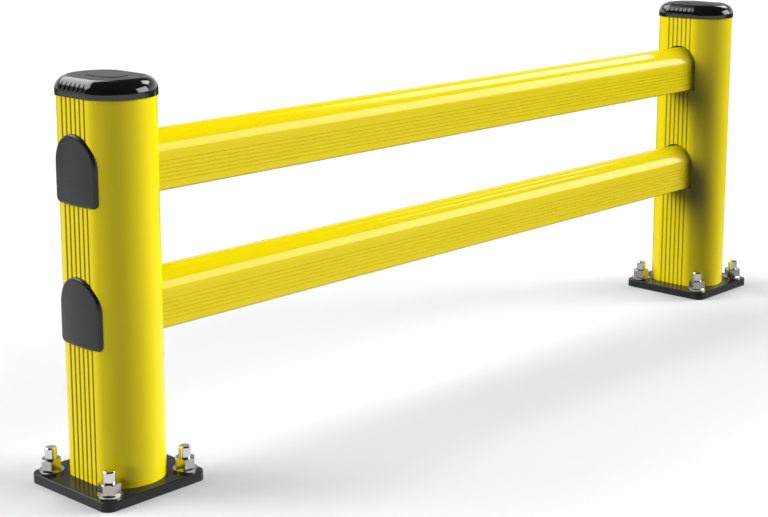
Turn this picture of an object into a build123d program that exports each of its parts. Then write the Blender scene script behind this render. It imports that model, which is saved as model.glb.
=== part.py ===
from build123d import *
import math
import os

# Layout. X runs along the rails, the viewer's side is -Y, and the floor is Z = 0.
POST_SPACING = 1650.0
LOWER_RAIL_SILL = 242.0
RAIL_SPACE = 129.0
SLEEVE_ABOVE_RAIL = 75.0

# Post section: two grooved flats that face along the rails, joined by round front and back walls.
POST_WIDTH = 128.0
POST_DEPTH = 164.0
POST_FLAT = 74.0
POST_EDGE_RADIUS = 30.0
SLEEVE_WALL = 8.0
POST_GROOVE_COUNT = 6
POST_GROOVE_PITCH = 11.0
POST_GROOVE_WIDTH = 4.0
POST_GROOVE_DEPTH = 2.0

# Steel core that stands on the base plate inside the sleeve and carries the rails.
CORE_GAP = 1.0
CORE_WALL = 5.0
CORE_TOP_DROP = 8.0
CORE_WINDOW_GAP = 1.0

# Rail section: flat underside, upright grooved sides and a half-round top.
RAIL_WIDTH = 72.0
RAIL_HEIGHT = 94.0
RAIL_WALL = 6.0
RAIL_CORNER = 4.0
RAIL_END_INSET = 2.0
RAIL_GROOVE_COUNT = 6
RAIL_GROOVE_START = 14.0
RAIL_GROOVE_PITCH = 6.5
RAIL_GROOVE_WIDTH = 2.6
RAIL_GROOVE_DEPTH = 1.2

# Windows in the sleeve, through which the rails pass with room to flex.
WINDOW_SIDE_GAP = 6.0
WINDOW_TOP_GAP = 3.0
WINDOW_CORNER = 3.0

# End covers over the windows on the outer faces, each with a plug inside the rail.
COVER_MARGIN = 7.0
COVER_CROWN = 6.5
COVER_CROWN_RADIUS = 220.0
COVER_EDGE_RADIUS = 5.5
COVER_GAP = 0.3
PLUG_DEPTH = 20.0
PLUG_WALL = 3.0
PLUG_GAP = 0.4

# Post caps: a skirt, a rounded shoulder with flutes that follow the grooves, and a flat top.
CAP_SKIRT = 10.0
CAP_RISE = 19.0
CAP_GAP = 0.3
CAP_SKIRT_WALL = 1.9
CAP_SHOULDER_RADIUS = 22.0
CAP_CEILING = 5.0
CAP_FLUTE_WIDTH = 4.5
CAP_FLUTE_DEPTH = 6.0
CAP_SKIRT_FLUTE_DEPTH = 0.7
CAP_PAD_LENGTH = 78.0
CAP_PAD_WIDTH = 46.0
CAP_PAD_RISE = 1.0
CAP_PLUG_DEPTH = 24.0
CAP_PLUG_WALL = 4.0
CAP_PLUG_GAP = 0.4

# Base plate.
PLATE_SIDE = 200.0
PLATE_THICKNESS = 16.0
PLATE_CORNER = 16.0
PLATE_EDGE = 1.5
ANCHOR_SPACING = 150.0
ANCHOR_HOLE = 22.0

# M20 anchor fasteners. Inside the nut, the stud and the nut meet at the thread's pitch diameter.
STUD_DIAMETER = 20.0
STUD_PITCH_DIAMETER = 18.4
STUD_END_GAP = 0.3
STUD_STANDS_OUT = 19.0
STUD_CHAMFER = 2.0
NUT_ACROSS_FLATS = 30.0
NUT_HEIGHT = 18.0
NUT_CHAMFER_ANGLE = 30.0
NUT_TURNS = (15.0, 50.0, 3.0, 54.0)
NUT_SIDES = 6
NUT_GAP = 0.15
WASHER_DIAMETER = 40.0
WASHER_THICKNESS = 4.0
WASHER_GAP = 0.5

# Locking rod that passes down through the rail ends and stands on the base plate.
ROD_DIAMETER = 20.0
ROD_GAP = 0.5
ROD_ABOVE_RAIL = 30.0
ROD_CHAMFER = 2.0

# How far a cutter runs past the face that it cuts.
CUT_PAST = 1.0

UPPER_RAIL_SILL = LOWER_RAIL_SILL + RAIL_HEIGHT + RAIL_SPACE
RAIL_SILLS = {"upper": UPPER_RAIL_SILL, "lower": LOWER_RAIL_SILL}
SLEEVE_TOP = UPPER_RAIL_SILL + RAIL_HEIGHT + SLEEVE_ABOVE_RAIL
RAIL_LENGTH = POST_SPACING + POST_WIDTH - 2 * RAIL_END_INSET
WINDOW_WIDTH = RAIL_WIDTH + 2 * WINDOW_SIDE_GAP
WINDOW_HEIGHT = RAIL_HEIGHT + WINDOW_TOP_GAP
CORE_INSET = SLEEVE_WALL + CORE_GAP
CORE_TOP = SLEEVE_TOP - CORE_TOP_DROP
NUT_CORNER_RADIUS = NUT_ACROSS_FLATS / 2 / math.cos(math.pi / NUT_SIDES)
NUT_TOP = PLATE_THICKNESS + WASHER_THICKNESS + NUT_HEIGHT


def post_outline(grow=0.0):
    """Outline of the post in plan, made larger or smaller all round by grow."""
    half_width = POST_WIDTH / 2
    half_flat = POST_FLAT / 2
    back = ThreePointArc((half_width, half_flat), (0, POST_DEPTH / 2), (-half_width, half_flat))
    left = Line((-half_width, half_flat), (-half_width, -half_flat))
    front = ThreePointArc((-half_width, -half_flat), (0, -POST_DEPTH / 2), (half_width, -half_flat))
    right = Line((half_width, -half_flat), (half_width, half_flat))
    face = make_face(Curve() + [back, left, front, right])
    face = fillet(face.vertices(), POST_EDGE_RADIUS)
    if grow:
        face = offset(face, amount=grow)
    return face


def arch_outline(width, height, corner):
    """Outline with a flat foot, upright sides and a half-round top, its foot centred on the origin."""
    half = width / 2
    spring = height - half
    foot = Line((-half, 0), (half, 0))
    near_side = Line((half, 0), (half, spring))
    top = ThreePointArc((half, spring), (0, height), (-half, spring))
    far_side = Line((-half, spring), (-half, 0))
    face = make_face(Curve() + [foot, near_side, top, far_side])
    if corner:
        face = fillet(face.vertices().group_by(Axis.Y)[0], corner)
    return face


def groove_section(width, depth):
    """Section of a groove that opens on the local line x = 0 and goes into -x."""
    floor = width / 4
    return Polygon(
        (CUT_PAST, -width / 2),
        (CUT_PAST, width / 2),
        (0, width / 2),
        (-depth, floor),
        (-depth, -floor),
        (0, -width / 2),
        align=None,
    )


def row(count, pitch):
    """Places of count things, a pitch apart, centred on zero."""
    return [(i - (count - 1) / 2) * pitch for i in range(count)]


def along_rails(profile, start, end):
    """Extrudes a profile drawn in Y and Z from X = start to X = end."""
    return extrude(Plane.YZ.offset(start) * profile, amount=end - start)


def tube_between(outline, bottom, top):
    return extrude(Pos(0, 0, bottom) * outline, amount=top - bottom)


def post_sleeve():
    """Yellow extruded sleeve with grooved flats and two windows through it."""
    section = post_outline()
    groove = groove_section(POST_GROOVE_WIDTH, POST_GROOVE_DEPTH)
    for y in row(POST_GROOVE_COUNT, POST_GROOVE_PITCH):
        section -= Pos(POST_WIDTH / 2, y) * groove
        section -= Pos(-POST_WIDTH / 2, y) * Rot(Z=180) * groove
    section -= post_outline(-SLEEVE_WALL)
    sleeve = tube_between(section, PLATE_THICKNESS, SLEEVE_TOP)
    window = arch_outline(WINDOW_WIDTH, WINDOW_HEIGHT, WINDOW_CORNER)
    reach = POST_WIDTH / 2 + CUT_PAST
    for sill in RAIL_SILLS.values():
        sleeve -= Pos(0, 0, sill) * along_rails(window, -reach, reach)
    return sleeve


def post_core():
    """Steel tube inside the sleeve, with windows that the rails rest in."""
    section = post_outline(-CORE_INSET) - post_outline(-CORE_INSET - CORE_WALL)
    core = tube_between(section, PLATE_THICKNESS, CORE_TOP)
    window = arch_outline(
        RAIL_WIDTH + 2 * CORE_WINDOW_GAP,
        RAIL_HEIGHT + CORE_WINDOW_GAP,
        0,
    )
    reach = POST_WIDTH / 2
    for sill in RAIL_SILLS.values():
        core -= Pos(0, 0, sill) * along_rails(window, -reach, reach)
    return core


def post_cap():
    """Hollow moulded cap with a fluted skirt outside the sleeve and a plug ring inside the core."""
    skirt_foot = SLEEVE_TOP - CAP_SKIRT
    top = SLEEVE_TOP + CAP_RISE
    cap = tube_between(post_outline(CAP_GAP + CAP_SKIRT_WALL), skirt_foot, top)
    cap = fillet(cap.faces().sort_by(Axis.Z)[-1].edges(), CAP_SHOULDER_RADIUS)
    pad = SlotOverall(CAP_PAD_LENGTH, CAP_PAD_WIDTH, rotation=90)
    pad = tube_between(pad, top - CUT_PAST, top + CAP_PAD_RISE)
    cap += fillet(pad.faces().sort_by(Axis.Z)[-1].edges(), CAP_PAD_RISE / 2)
    flute = groove_section(CAP_FLUTE_WIDTH, CAP_FLUTE_DEPTH)
    skirt_flute = groove_section(CAP_FLUTE_WIDTH, CAP_SKIRT_FLUTE_DEPTH)
    face_x = POST_WIDTH / 2 + CAP_GAP + CAP_SKIRT_WALL
    for y in row(POST_GROOVE_COUNT, POST_GROOVE_PITCH):
        cutter = tube_between(flute, SLEEVE_TOP, top + CUT_PAST)
        cutter += tube_between(skirt_flute, skirt_foot, SLEEVE_TOP)
        cap -= Pos(face_x, y) * cutter
        cap -= Pos(-face_x, y) * Rot(Z=180) * cutter
    cap -= tube_between(post_outline(CAP_GAP), skirt_foot, SLEEVE_TOP)
    plug_foot = SLEEVE_TOP - CAP_PLUG_DEPTH
    plug_inset = CORE_INSET + CORE_WALL + CAP_PLUG_GAP
    cap += tube_between(post_outline(-plug_inset), plug_foot, SLEEVE_TOP)
    hollow = post_outline(-plug_inset - CAP_PLUG_WALL)
    cap -= tube_between(hollow, plug_foot, top - CAP_CEILING)
    return cap


def base_plate():
    """Square steel plate with four anchor holes."""
    outline = RectangleRounded(PLATE_SIDE, PLATE_SIDE, PLATE_CORNER)
    plate = extrude(outline, amount=PLATE_THICKNESS)
    plate = chamfer(plate.faces().sort_by(Axis.Z)[-1].edges(), PLATE_EDGE)
    for x, y in anchor_places():
        plate -= Pos(x, y) * extrude(Circle(ANCHOR_HOLE / 2), amount=PLATE_THICKNESS)
    return plate


def locking_rod():
    """Steel rod that pins both rails in the post."""
    top = UPPER_RAIL_SILL + RAIL_HEIGHT + ROD_ABOVE_RAIL
    rod = tube_between(Circle(ROD_DIAMETER / 2), PLATE_THICKNESS, top)
    return chamfer(rod.edges().filter_by(GeomType.CIRCLE), ROD_CHAMFER)


def rail():
    """Hollow rail, long enough to pass through both posts, with a rod hole at each end."""
    section = arch_outline(RAIL_WIDTH, RAIL_HEIGHT, RAIL_CORNER)
    groove = groove_section(RAIL_GROOVE_WIDTH, RAIL_GROOVE_DEPTH)
    for i in range(RAIL_GROOVE_COUNT):
        z = RAIL_GROOVE_START + i * RAIL_GROOVE_PITCH
        section -= Pos(RAIL_WIDTH / 2, z) * groove
        section -= Pos(-RAIL_WIDTH / 2, z) * Rot(Z=180) * groove
    section -= rail_hollow()
    body = along_rails(section, -RAIL_LENGTH / 2, RAIL_LENGTH / 2)
    hole = extrude(Circle(ROD_DIAMETER / 2 + ROD_GAP), amount=RAIL_HEIGHT + CUT_PAST)
    for x in (-POST_SPACING / 2, POST_SPACING / 2):
        body -= Pos(x, 0, 0) * hole
    return body


def rail_hollow(inset=0.0):
    """Outline of the space inside a rail, less an inset all round."""
    wall = RAIL_WALL + inset
    return Pos(0, wall) * arch_outline(RAIL_WIDTH - 2 * wall, RAIL_HEIGHT - 2 * wall, 0)


def end_cover():
    """Crowned cover for the window in the -X face, with a plug that enters the rail."""
    face_x = -POST_WIDTH / 2
    outline = Pos(0, -COVER_MARGIN) * arch_outline(
        WINDOW_WIDTH + 2 * COVER_MARGIN,
        WINDOW_HEIGHT + 2 * COVER_MARGIN,
        WINDOW_CORNER + COVER_MARGIN,
    )
    cover = along_rails(outline, face_x - COVER_CROWN - CUT_PAST, 0)
    crown_x = face_x - COVER_CROWN + COVER_CROWN_RADIUS
    height = WINDOW_HEIGHT + 2 * COVER_MARGIN
    crown = extrude(Pos(crown_x, 0, -COVER_MARGIN) * Circle(COVER_CROWN_RADIUS), amount=height)
    cover &= crown
    cover = fillet(cover.faces().sort_by(Axis.X)[0].edges(), COVER_EDGE_RADIUS)
    seat = post_outline(COVER_GAP)
    cover -= extrude(Pos(0, 0, -COVER_MARGIN) * seat, amount=height)
    rail_end = face_x + RAIL_END_INSET
    plug = rail_hollow(PLUG_GAP) - rail_hollow(PLUG_GAP + PLUG_WALL)
    cover += along_rails(plug, face_x - COVER_GAP, rail_end + PLUG_DEPTH)
    return cover


def anchor_places():
    half = ANCHOR_SPACING / 2
    return [(-half, -half), (half, -half), (half, half), (-half, half)]


def anchor_stud():
    """Stud with its free end above the nut at full diameter."""
    end_foot = NUT_TOP + STUD_END_GAP
    shank = extrude(Circle(STUD_PITCH_DIAMETER / 2), amount=end_foot)
    free_end = tube_between(Circle(STUD_DIAMETER / 2), end_foot, NUT_TOP + STUD_STANDS_OUT)
    return shank + chamfer(free_end.edges().sort_by(Axis.Z)[-1], STUD_CHAMFER)


def anchor_washer():
    ring = Circle(WASHER_DIAMETER / 2) - Circle(STUD_DIAMETER / 2 + WASHER_GAP)
    return tube_between(ring, PLATE_THICKNESS, PLATE_THICKNESS + WASHER_THICKNESS)


def anchor_nut():
    """Hexagon nut with both ends chamfered."""
    foot = PLATE_THICKNESS + WASHER_THICKNESS
    hexagon = RegularPolygon(NUT_CORNER_RADIUS, NUT_SIDES) - Circle(STUD_PITCH_DIAMETER / 2 + NUT_GAP)
    nut = tube_between(hexagon, foot, NUT_TOP)
    flat = NUT_ACROSS_FLATS / 2
    drop = (NUT_CORNER_RADIUS - flat) * math.tan(math.radians(NUT_CHAMFER_ANGLE))
    profile = Polygon(
        (0, 0),
        (flat, 0),
        (NUT_CORNER_RADIUS, drop),
        (NUT_CORNER_RADIUS, NUT_HEIGHT - drop),
        (flat, NUT_HEIGHT),
        (0, NUT_HEIGHT),
        align=None,
    )
    envelope = revolve(Plane.XZ * Pos(0, foot) * profile, Axis.Z)
    return nut & envelope


def write(shape, node):
    export_step(shape, "parts/" + node + ".step")


def main():
    os.makedirs("parts", exist_ok=True)
    sleeve = post_sleeve()
    core = post_core()
    cap = post_cap()
    plate = base_plate()
    rod = locking_rod()
    cover = end_cover()
    fasteners = {
        "anchor_stud": anchor_stud(),
        "anchor_washer": anchor_washer(),
        "anchor_nut": anchor_nut(),
    }
    posts = {
        "left": Pos(-POST_SPACING / 2, 0, 0),
        "right": Pos(POST_SPACING / 2, 0, 0) * Rot(Z=180),
    }
    for side, place in posts.items():
        write(place * sleeve, side + "_post_sleeve")
        write(place * core, side + "_post_core")
        write(place * cap, side + "_post_cap")
        write(place * plate, side + "_base_plate")
        write(place * rod, side + "_locking_rod")
        for level, sill in RAIL_SILLS.items():
            write(place * Pos(0, 0, sill) * cover, side + "_" + level + "_end_cover")
        for number, ((x, y), turn) in enumerate(zip(anchor_places(), NUT_TURNS), 1):
            anchor = place * Pos(x, y, 0) * Rot(Z=turn)
            for name, fastener in fasteners.items():
                write(anchor * fastener, side + "_" + name + "_" + str(number))
    for level, sill in RAIL_SILLS.items():
        write(Pos(0, 0, sill) * rail(), level + "_rail")


main()
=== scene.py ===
"""Looks of the industrial guard rail: finishes, studio light, floor and camera."""

import math

import bpy
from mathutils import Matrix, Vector

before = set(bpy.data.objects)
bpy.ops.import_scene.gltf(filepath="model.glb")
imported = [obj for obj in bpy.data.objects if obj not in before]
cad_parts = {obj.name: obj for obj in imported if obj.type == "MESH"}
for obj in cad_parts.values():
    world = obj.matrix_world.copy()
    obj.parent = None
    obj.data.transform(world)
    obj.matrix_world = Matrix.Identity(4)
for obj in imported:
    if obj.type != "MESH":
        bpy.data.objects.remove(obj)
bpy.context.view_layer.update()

# Camera, in metres and degrees, with the lens and the sensor in millimetres. Its yaw is counted from
# +X towards +Y, as is every azimuth here.
CAMERA_PLACE = (-2.3554, -2.0070, 0.9869)
CAMERA_YAW = 43.001
CAMERA_PITCH = 10.842
CAMERA_LENS = 77.063
CAMERA_SENSOR = 36.0
CAMERA_SHIFT = -0.12

# Floor: its half side in metres, its colour to the lens and the colour it sends back to matt surfaces.
FLOOR_REACH = 60.0
FLOOR_TINT = (0.868, 0.871, 0.874)
FLOOR_BOUNCE = (0.02, 0.02, 0.02)

# The floor's brightness in glossy surfaces. It falls from near to far between two distances in metres,
# which count from the origin towards an azimuth.
MIRRORED_FLOOR_NEAR = 0.75
MIRRORED_FLOOR_FAR = 0.1
MIRRORED_FLOOR_SIDE = 43.0
MIRRORED_FLOOR_START = -0.3
MIRRORED_FLOOR_END = 1.4

# Soft lamps at a great distance: name, azimuth, elevation, apparent width in degrees, strength.
LAMPS = (
    ("left_low", 172, 10, 18, 1.50),
    ("left_side", 155, 20, 24, 0.38),
    ("left_back", 128, 30, 30, 1.55),
    ("left_high", 105, 52, 30, 0.75),
    ("right_high", 305, 30, 24, 0.85),
    ("right_low", 325, 10, 24, 2.40),
    ("right_side", 337, 25, 32, 1.48),
    ("right_back", 5, 30, 24, 0.45),
    ("behind", 45, 60, 24, 0.62),
)

# Softboxes that glossy surfaces mirror: azimuth, elevation, half width, half height in degrees,
# brightness and the softness of the edge.
SOFTBOXES = (
    (318, 17, 17, 13.5, 4.0, 0.02),
    (5, 36, 11, 7.5, 4.7, 0.03),
    (100, 41, 34, 15, 3.0, 0.06),
)

# World: its fill on matt surfaces, its darkest level in glossy ones, and a pale horizon on one side.
# The horizon fades out upwards at a height, and sideways between two reaches along its azimuth.
WORLD_FILL = 0.01
MIRROR_DARK = 0.03
HORIZON_SIDE = 43.0
HORIZON_LEVEL = 1.1
HORIZON_TOP = 0.5
HORIZON_FADE = (-0.2, 0.6)

# A noise texture's values between these two carry a finish from one end of its range to the other.
NOISE_LOW = 0.3
NOISE_HIGH = 0.7

# Colours. The yellow clouds between its two.
YELLOW_DEEP = (0.94, 0.760, 0.001)
YELLOW_PALE = (0.96, 0.776, 0.0015)
CAP_BLACK = (0.006, 0.006, 0.007)
COVER_BLACK = (0.014, 0.015, 0.015)
CORE_BLACK = (0.010, 0.010, 0.011)
PLATE_BLACK = (0.029, 0.030, 0.030)
ROD_STEEL = (0.62, 0.62, 0.60)
STUD_STEEL = (0.93, 0.93, 0.93)
WASHER_STEEL = (0.80, 0.79, 0.77)
NUT_STEEL = (0.63, 0.595, 0.56)

# Roughness of each finish, from its smoothest spots to its roughest.
YELLOW_ROUGH = (0.10, 0.13)
CAP_ROUGH = (0.06, 0.10)
COVER_ROUGH = (0.24, 0.34)
COAT_ROUGH = (0.14, 0.22)
ROD_ROUGH = (0.25, 0.35)
STUD_ROUGH = (0.12, 0.20)
WASHER_ROUGH = (0.12, 0.22)
NUT_ROUGH = (0.14, 0.24)

# Refractive indices, and specular levels, where 0.5 is plain plastic.
YELLOW_INDEX = 1.49
CAP_INDEX = 1.75
COVER_INDEX = 1.6
SLEEVE_GLOSS = 0.26
RAIL_GLOSS = 0.42
CORE_GLOSS = 0.2
PLATE_GLOSS = 0.22

# The caps' flat top is satin from this height in metres upwards, over a short blend.
CAP_FLAT_TOP = 0.6529
SATIN_BLEND = 0.0004
SATIN_ROUGHNESS = 0.34

# Noise scales per metre: lines and marks, clouds and spots, grain and peel.
DIE_LINES = 260.0
YELLOW_CLOUDS = 5.0
YELLOW_GRAIN = 1500.0
MOULD_CLOUDS = 25.0
MOULD_GRAIN = 1400.0
COAT_CLOUDS = 14.0
COAT_PEEL = 420.0
STEEL_MARKS = 260.0
STEEL_SPOTS = 160.0

# Bump heights in metres, and how strongly they show.
DIE_LINE_HEIGHT = 0.000002
YELLOW_GRAIN_HEIGHT = 0.000002
CAP_GRAIN_HEIGHT = 0.000002
COVER_GRAIN_HEIGHT = 0.00001
PEEL_HEIGHT = 0.00001
STEEL_MARK_HEIGHT = 0.00002
FAINT = 0.3
PLAIN = 0.5

# How much the noise is stretched: along an extrusion, and along X, Y and Z for marks round an upright
# axis and for marks along it.
EXTRUSION_STRETCH = 0.001
ROUND_MARKS = (0.2, 0.2, 12.0)
UPRIGHT_MARKS = (6.0, 6.0, 0.6)

UP = Vector((0, 0, 1))
WHITE = (1, 1, 1, 1)


def direction(azimuth, elevation):
    """The unit vector that points to an azimuth and elevation in degrees."""
    flat = math.cos(math.radians(elevation))
    return Vector((
        flat * math.cos(math.radians(azimuth)),
        flat * math.sin(math.radians(azimuth)),
        math.sin(math.radians(elevation)),
    ))


def shade(tint, level):
    """A colour at a lower level."""
    return tuple(level * part for part in tint)


class Nodes:
    """A node tree, with short calls that add and join nodes."""

    def __init__(self, tree):
        self.tree = tree

    def add(self, kind, **settings):
        node = self.tree.nodes.new(kind)
        for key, value in settings.items():
            setattr(node, key, value)
        return node

    def join(self, source, target):
        self.tree.links.new(source, target)

    def math(self, operation, *values):
        """A sum on values, which are numbers or other nodes' outputs."""
        node = self.add("ShaderNodeMath", operation=operation)
        for socket, value in zip(node.inputs, values):
            if isinstance(value, (int, float)):
                socket.default_value = value
            else:
                self.join(value, socket)
        return node.outputs["Value"]

    def along(self, vector, axis):
        """How far a vector reaches along an axis."""
        node = self.add("ShaderNodeVectorMath", operation="DOT_PRODUCT")
        self.join(vector, node.inputs[0])
        node.inputs[1].default_value = axis
        return node.outputs["Value"]

    def place(self, scale=(1, 1, 1)):
        """The point's place on the part in metres, stretched by scale."""
        texture = self.add("ShaderNodeTexCoord")
        mapping = self.add("ShaderNodeMapping")
        mapping.inputs["Scale"].default_value = scale
        self.join(texture.outputs["Object"], mapping.inputs["Vector"])
        return mapping.outputs["Vector"]

    def noise(self, place, scale, detail):
        node = self.add("ShaderNodeTexNoise")
        node.inputs["Scale"].default_value = scale
        node.inputs["Detail"].default_value = detail
        self.join(place, node.inputs["Vector"])
        return node.outputs["Fac"]

    def between(self, value, low, high, low_value, high_value):
        """Value taken from low..high to low_value..high_value, held at both ends."""
        node = self.add("ShaderNodeMapRange")
        node.inputs["From Min"].default_value = low
        node.inputs["From Max"].default_value = high
        node.inputs["To Min"].default_value = low_value
        node.inputs["To Max"].default_value = high_value
        self.join(value, node.inputs["Value"])
        return node.outputs["Result"]

    def spread(self, noise, low_value, high_value):
        """A noise texture's value, taken to a range."""
        return self.between(noise, NOISE_LOW, NOISE_HIGH, low_value, high_value)

    def blend(self, factor, first, second):
        """One colour fading into another, by a factor from 0 to 1."""
        node = self.add("ShaderNodeMix", data_type="RGBA")
        node.inputs["A"].default_value = (*first, 1)
        node.inputs["B"].default_value = (*second, 1)
        self.join(factor, node.inputs["Factor"])
        return node.outputs["Result"]

    def choose(self, factor, first, second):
        """One value or another, which are numbers or outputs, by a factor from 0 to 1."""
        difference = self.math("SUBTRACT", second, first)
        return self.math("ADD", self.math("MULTIPLY", factor, difference), first)

    def bump(self, height, distance, strength, under=None):
        """Bumps of a height in metres, over other bumps where these are given."""
        node = self.add("ShaderNodeBump")
        node.inputs["Strength"].default_value = strength
        node.inputs["Distance"].default_value = distance
        self.join(height, node.inputs["Height"])
        if under is not None:
            self.join(under, node.inputs["Normal"])
        return node.outputs["Normal"]


class Finish(Nodes):
    """A material whose shader takes values by socket name."""

    def __init__(self, name):
        self.material = bpy.data.materials.new(name)
        self.material.use_nodes = True
        super().__init__(self.material.node_tree)
        self.shader = self.tree.nodes["Principled BSDF"]

    def set(self, **sockets):
        """Shader sockets by name, with _ for a space."""
        for name, value in sockets.items():
            self.shader.inputs[name.replace("_", " ")].default_value = value

    def feed(self, name, output):
        self.join(output, self.shader.inputs[name])

    def tint(self, noise, first, second):
        """The colour, clouded between two."""
        self.feed("Base Color", self.blend(self.spread(noise, 0, 1), first, second))


def yellow_plastic(name, axis, gloss):
    """Extruded yellow polymer with faint die lines along one axis, given by its index."""
    nodes = Finish(name)
    stretch = [1.0, 1.0, 1.0]
    stretch[axis] = EXTRUSION_STRETCH
    place = nodes.place()
    lines = nodes.noise(nodes.place(stretch), DIE_LINES, detail=1.0)
    clouds = nodes.noise(place, YELLOW_CLOUDS, detail=4.0)
    grain = nodes.noise(place, YELLOW_GRAIN, detail=2.0)
    nodes.tint(clouds, YELLOW_DEEP, YELLOW_PALE)
    wear = nodes.choose(0.6, lines, clouds)
    nodes.feed("Roughness", nodes.spread(wear, *YELLOW_ROUGH))
    ridges = nodes.bump(lines, DIE_LINE_HEIGHT, FAINT)
    nodes.feed("Normal", nodes.bump(grain, YELLOW_GRAIN_HEIGHT, FAINT, ridges))
    nodes.set(IOR=YELLOW_INDEX, Specular_IOR_Level=gloss)
    return nodes.material


def moulded_black(name, tint, rough, grain_height, index, satin_above=None):
    """Black moulded plastic, polished or finely grained, and satin above a height where one is given."""
    nodes = Finish(name)
    place = nodes.place()
    grain = nodes.noise(place, MOULD_GRAIN, detail=3.0)
    clouds = nodes.noise(place, MOULD_CLOUDS, detail=4.0)
    nodes.tint(clouds, shade(tint, 0.7), tint)
    wear = nodes.choose(0.5, grain, clouds)
    roughness = nodes.spread(wear, *rough)
    if satin_above is not None:
        height = nodes.along(place, UP)
        satin = nodes.between(height, satin_above - SATIN_BLEND, satin_above, 0, SATIN_ROUGHNESS)
        roughness = nodes.math("ADD", roughness, satin)
    nodes.feed("Roughness", roughness)
    nodes.feed("Normal", nodes.bump(grain, grain_height, PLAIN))
    nodes.set(IOR=index)
    return nodes.material


def powder_coat(name, tint, gloss):
    """Black powder coating with a faint orange-peel surface."""
    nodes = Finish(name)
    place = nodes.place()
    peel = nodes.noise(place, COAT_PEEL, detail=2.0)
    clouds = nodes.noise(place, COAT_CLOUDS, detail=4.0)
    nodes.tint(clouds, shade(tint, 0.8), tint)
    nodes.feed("Roughness", nodes.spread(clouds, *COAT_ROUGH))
    nodes.feed("Normal", nodes.bump(peel, PEEL_HEIGHT, PLAIN))
    nodes.set(Specular_IOR_Level=gloss)
    return nodes.material


def bright_steel(name, tint, rough, stretch):
    """Zinc-plated steel, with fine tool marks stretched along the axes given."""
    nodes = Finish(name)
    marks = nodes.noise(nodes.place(stretch), STEEL_MARKS, detail=2.0)
    spots = nodes.noise(nodes.place(), STEEL_SPOTS, detail=4.0)
    nodes.tint(spots, shade(tint, 0.85), tint)
    nodes.feed("Roughness", nodes.spread(spots, *rough))
    nodes.feed("Normal", nodes.bump(marks, STEEL_MARK_HEIGHT, PLAIN))
    nodes.set(Metallic=1.0)
    return nodes.material


def finishes():
    """One material for each kind of piece, by the words in its pieces' names."""
    return {
        "post_sleeve": yellow_plastic("sleeve_plastic", axis=2, gloss=SLEEVE_GLOSS),
        "rail": yellow_plastic("rail_plastic", axis=0, gloss=RAIL_GLOSS),
        "post_core": powder_coat("core_coat", CORE_BLACK, CORE_GLOSS),
        "post_cap": moulded_black(
            "cap_plastic", CAP_BLACK, CAP_ROUGH, CAP_GRAIN_HEIGHT, CAP_INDEX, satin_above=CAP_FLAT_TOP
        ),
        "end_cover": moulded_black(
            "cover_plastic", COVER_BLACK, COVER_ROUGH, COVER_GRAIN_HEIGHT, COVER_INDEX
        ),
        "base_plate": powder_coat("plate_coat", PLATE_BLACK, PLATE_GLOSS),
        "locking_rod": bright_steel("rod_steel", ROD_STEEL, ROD_ROUGH, ROUND_MARKS),
        "anchor_stud": bright_steel("stud_steel", STUD_STEEL, STUD_ROUGH, ROUND_MARKS),
        "anchor_washer": bright_steel("washer_steel", WASHER_STEEL, WASHER_ROUGH, UPRIGHT_MARKS),
        "anchor_nut": bright_steel("nut_steel", NUT_STEEL, NUT_ROUGH, UPRIGHT_MARKS),
    }


def dress_nodes():
    """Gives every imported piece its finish, by its name, and keeps its light off matt surfaces."""
    looks = finishes()
    for name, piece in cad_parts.items():
        kind = next(words for words in looks if words in name)
        piece.data.materials.clear()
        piece.data.materials.append(looks[kind])
        piece.visible_diffuse = False


def make_floor():
    """A wide pale floor that keeps the shadows, and whose reflection dims to one side."""
    mesh = bpy.data.meshes.new("floor")
    corners = [(x * FLOOR_REACH, y * FLOOR_REACH, 0) for x, y in ((-1, -1), (1, -1), (1, 1), (-1, 1))]
    mesh.from_pydata(corners, [], [(0, 1, 2, 3)])
    floor = bpy.data.objects.new("floor", mesh)
    bpy.context.scene.collection.objects.link(floor)
    floor.data.materials.append(floor_finish())


def floor_finish():
    """Matt to the lens and to matt surfaces, and an even glow in glossy ones."""
    nodes = Finish("floor_finish")
    nodes.tree.nodes.remove(nodes.shader)
    rays = nodes.add("ShaderNodeLightPath")
    matt = nodes.add("ShaderNodeBsdfDiffuse")
    nodes.join(nodes.blend(rays.outputs["Is Camera Ray"], FLOOR_BOUNCE, FLOOR_TINT), matt.inputs["Color"])
    glow = nodes.add("ShaderNodeEmission")
    aside = nodes.along(nodes.place(), direction(MIRRORED_FLOOR_SIDE, 0))
    level = nodes.between(
        aside, MIRRORED_FLOOR_START, MIRRORED_FLOOR_END, MIRRORED_FLOOR_NEAR, MIRRORED_FLOOR_FAR
    )
    nodes.join(level, glow.inputs["Strength"])
    either = nodes.add("ShaderNodeMixShader")
    nodes.join(rays.outputs["Is Glossy Ray"], either.inputs["Fac"])
    nodes.join(matt.outputs["BSDF"], either.inputs[1])
    nodes.join(glow.outputs["Emission"], either.inputs[2])
    nodes.join(either.outputs["Shader"], nodes.tree.nodes["Material Output"].inputs["Surface"])
    return nodes.material


def softbox(nodes, ray, azimuth, elevation, half_width, half_height, level, edge):
    """The brightness that a soft-edged rectangle adds where a ray points at it."""
    ahead = direction(azimuth, elevation)
    right = ahead.cross(UP).normalized()
    above = right.cross(ahead)
    depth = nodes.along(ray, ahead)
    inside = nodes.math("GREATER_THAN", depth, 0)
    for axis, half in ((right, half_width), (above, half_height)):
        off = nodes.math("ABSOLUTE", nodes.math("DIVIDE", nodes.along(ray, axis), depth))
        rim = math.tan(math.radians(half))
        within = nodes.between(off, rim - edge, rim + edge, 1, 0)
        inside = nodes.math("MULTIPLY", inside, within)
    return nodes.math("MULTIPLY", inside, level)


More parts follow.
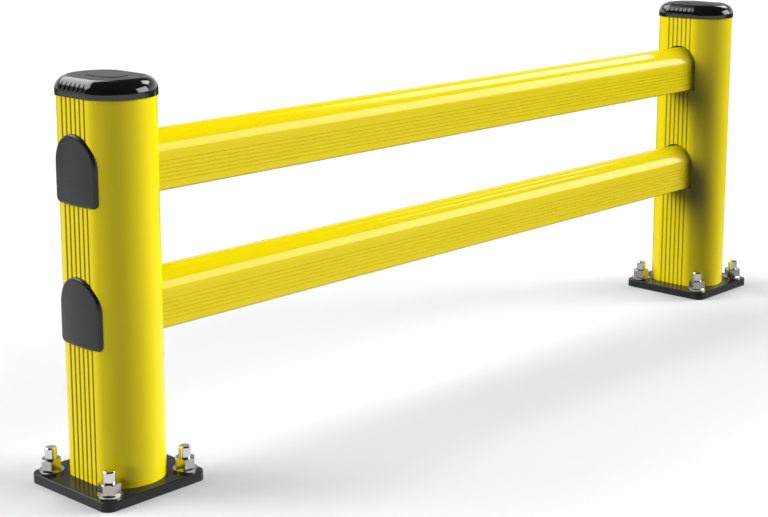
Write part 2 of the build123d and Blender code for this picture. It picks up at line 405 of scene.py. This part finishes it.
def horizon(nodes, ray):
    """The brightness that the pale horizon adds on its side."""
    low = nodes.between(nodes.along(ray, UP), 0.0, HORIZON_TOP, 1, 0)
    facing = nodes.between(nodes.along(ray, direction(HORIZON_SIDE, 0)), *HORIZON_FADE, 0, 1)
    return nodes.math("MULTIPLY", nodes.math("MULTIPLY", low, facing), HORIZON_LEVEL)


def make_world():
    """White to the lens, a faint fill for matt surfaces, and softboxes in a dark studio for glossy ones."""
    world = bpy.data.worlds.new("studio")
    bpy.context.scene.world = world
    world.use_nodes = True
    world.node_tree.nodes.clear()
    nodes = Nodes(world.node_tree)
    ray = nodes.add("ShaderNodeTexCoord").outputs["Generated"]
    mirrored = nodes.math("ADD", horizon(nodes, ray), MIRROR_DARK)
    for box in SOFTBOXES:
        mirrored = nodes.math("ADD", mirrored, softbox(nodes, ray, *box))
    rays = nodes.add("ShaderNodeLightPath")
    level = nodes.choose(rays.outputs["Is Glossy Ray"], WORLD_FILL, mirrored)
    level = nodes.choose(rays.outputs["Is Camera Ray"], level, 1)
    background = nodes.add("ShaderNodeBackground")
    background.inputs["Color"].default_value = WHITE
    nodes.join(level, background.inputs["Strength"])
    output = nodes.add("ShaderNodeOutputWorld")
    nodes.join(background.outputs["Background"], output.inputs["Surface"])


def make_lamps():
    """Wide soft lamps for matt surfaces only, each on its own side. Glossy ones mirror the softboxes."""
    for name, azimuth, elevation, width, strength in LAMPS:
        lamp = bpy.data.lights.new(name, "SUN")
        lamp.energy = strength
        lamp.angle = math.radians(width)
        holder = bpy.data.objects.new(name, lamp)
        holder.rotation_euler = direction(azimuth, elevation).to_track_quat("Z", "Y").to_euler()
        holder.visible_glossy = False
        bpy.context.scene.collection.objects.link(holder)


def make_camera():
    """A long lens at the photo's angle."""
    lens = bpy.data.cameras.new("camera")
    lens.lens = CAMERA_LENS
    lens.sensor_width = CAMERA_SENSOR
    lens.shift_y = CAMERA_SHIFT
    holder = bpy.data.objects.new("camera", lens)
    holder.location = CAMERA_PLACE
    ahead = direction(CAMERA_YAW, -CAMERA_PITCH)
    holder.rotation_euler = ahead.to_track_quat("-Z", "Y").to_euler()
    bpy.context.scene.collection.objects.link(holder)
    bpy.context.scene.camera = holder


bpy.context.scene.view_settings.view_transform = "Standard"
dress_nodes()
make_floor()
make_world()
make_lamps()
make_camera()
